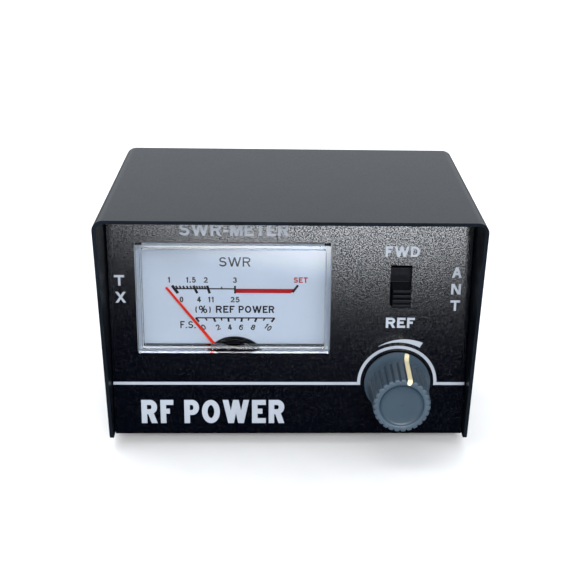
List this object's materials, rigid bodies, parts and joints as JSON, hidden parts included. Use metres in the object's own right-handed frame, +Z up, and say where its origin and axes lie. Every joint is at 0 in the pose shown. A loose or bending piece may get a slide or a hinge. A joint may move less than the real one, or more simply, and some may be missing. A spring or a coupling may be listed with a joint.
{
  "type": "swr meter",
  "caption": "Radio SWR and power meter: black steel case with visor cover, needle meter, slide switch, calibration knob and two rear coaxial sockets.",
  "frame": {"origin": "centre of the whole box at the level of the feet's undersides", "axes": "+X to the right as seen from the front, +Y backwards towards the sockets, +Z up; the panel faces -Y"},
  "size_m": [0.1032, 0.088, 0.0714],
  "materials": {
    "cover_paint": "satin",
    "panel_paint": "fine wrinkle",
    "zinc_steel": "zinc plated",
    "foot_rubber": "matt",
    "clear_acrylic": "polished",
    "dial_paint": "matt",
    "brass": "turned",
    "black_plastic": "satin",
    "tinned_metal": "tinned",
    "soft_iron": "machined",
    "magnet_iron": "ground",
    "spring_bronze": "bright",
    "phenolic": "satin",
    "nickel_plate": "satin nickel",
    "white_insulator": "smooth",
    "gold_plate": "plated",
    "board_laminate": "satin",
    "copper": "bright",
    "diode_glass": "gloss",
    "resistor_coat": "gloss",
    "capacitor_coat": "gloss",
    "trimmer_ceramic": "smooth",
    "wire_red": "satin",
    "wire_black": "satin",
    "needle_paint": "painted red",
    "former_metal": "plain",
    "slider_plastic": "satin",
    "shaft_metal": "turned",
    "knob_plastic": "satin",
    "knob_face": "satin",
    "pointer_cream": "satin"
  },
  "bodies": {
    "housing": {"cover": "cover_paint", "chassis": "panel_paint", "cover_screws": "zinc_steel", "rubber_feet": "foot_rubber", "foot_screws": "zinc_steel", "foot_nuts": "zinc_steel", "meter_window": "clear_acrylic", "meter_dial": "dial_paint", "dial_screws": "brass", "meter_case": "black_plastic", "meter_clamp": "zinc_steel", "meter_studs": "brass", "meter_nuts": "brass", "meter_lugs": "tinned_metal", "movement_screws": "zinc_steel", "yoke_ring": "soft_iron", "core_magnet": "magnet_iron", "core_holders": "brass", "front_bridge": "black_plastic", "rear_bridge": "brass", "front_jewel": "brass", "rear_jewel": "brass", "hairsprings": "spring_bronze", "switch_frame": "zinc_steel", "switch_base": "phenolic", "switch_terminals": "tinned_metal", "switch_nuts": "zinc_steel", "pot_bushing": "brass", "pot_can": "zinc_steel", "pot_track": "phenolic", "pot_terminals": "tinned_metal", "pot_washer": "zinc_steel", "pot_nut": "zinc_steel", "socket_shells": "nickel_plate", "socket_insulators": "white_insulator", "socket_contacts": "gold_plate", "socket_screws": "zinc_steel", "socket_nuts": "zinc_steel", "coupler_board": "board_laminate", "through_line": "copper", "pickup_lines": "copper", "coupler_diodes": "diode_glass", "coupler_resistors": "resistor_coat", "coupler_capacitors": "capacitor_coat", "trimmer": "trimmer_ceramic", "signal_wires": "wire_red", "ground_wire": "wire_black"},
    "pointer": {"needle": "needle_paint", "coil_former": "former_metal", "moving_coil": "copper", "coil_staffs": "zinc_steel"},
    "slider": {"switch_slider": "slider_plastic", "switch_contacts": "brass"},
    "control": {"pot_shaft": "shaft_metal", "pot_wiper": "brass", "knob": "knob_plastic", "knob_cap": "knob_face", "knob_pointer": "pointer_cream"}
  },
  "joints": [
    {"name": "needle_swing", "type": "hinge", "parent": "housing", "child": "pointer", "pos_m": [-0.0153, -0.0249, 0.0225], "axis": [0, 1, 0], "range_deg": [0, 74.8], "stiffness_Nm_per_rad": 0.00002, "springref_deg": -11.46, "deforming": ["hairsprings"]},
    {"name": "switch_slide", "type": "slide", "parent": "housing", "child": "slider", "axis": [0, 0, 1], "range_m": [0, 0.0054]},
    {"name": "knob_turn", "type": "hinge", "parent": "housing", "child": "control", "pos_m": [0.0297, -0.04, 0.0201], "axis": [0, 1, 0], "range_deg": [-165, 135]}
  ]
}
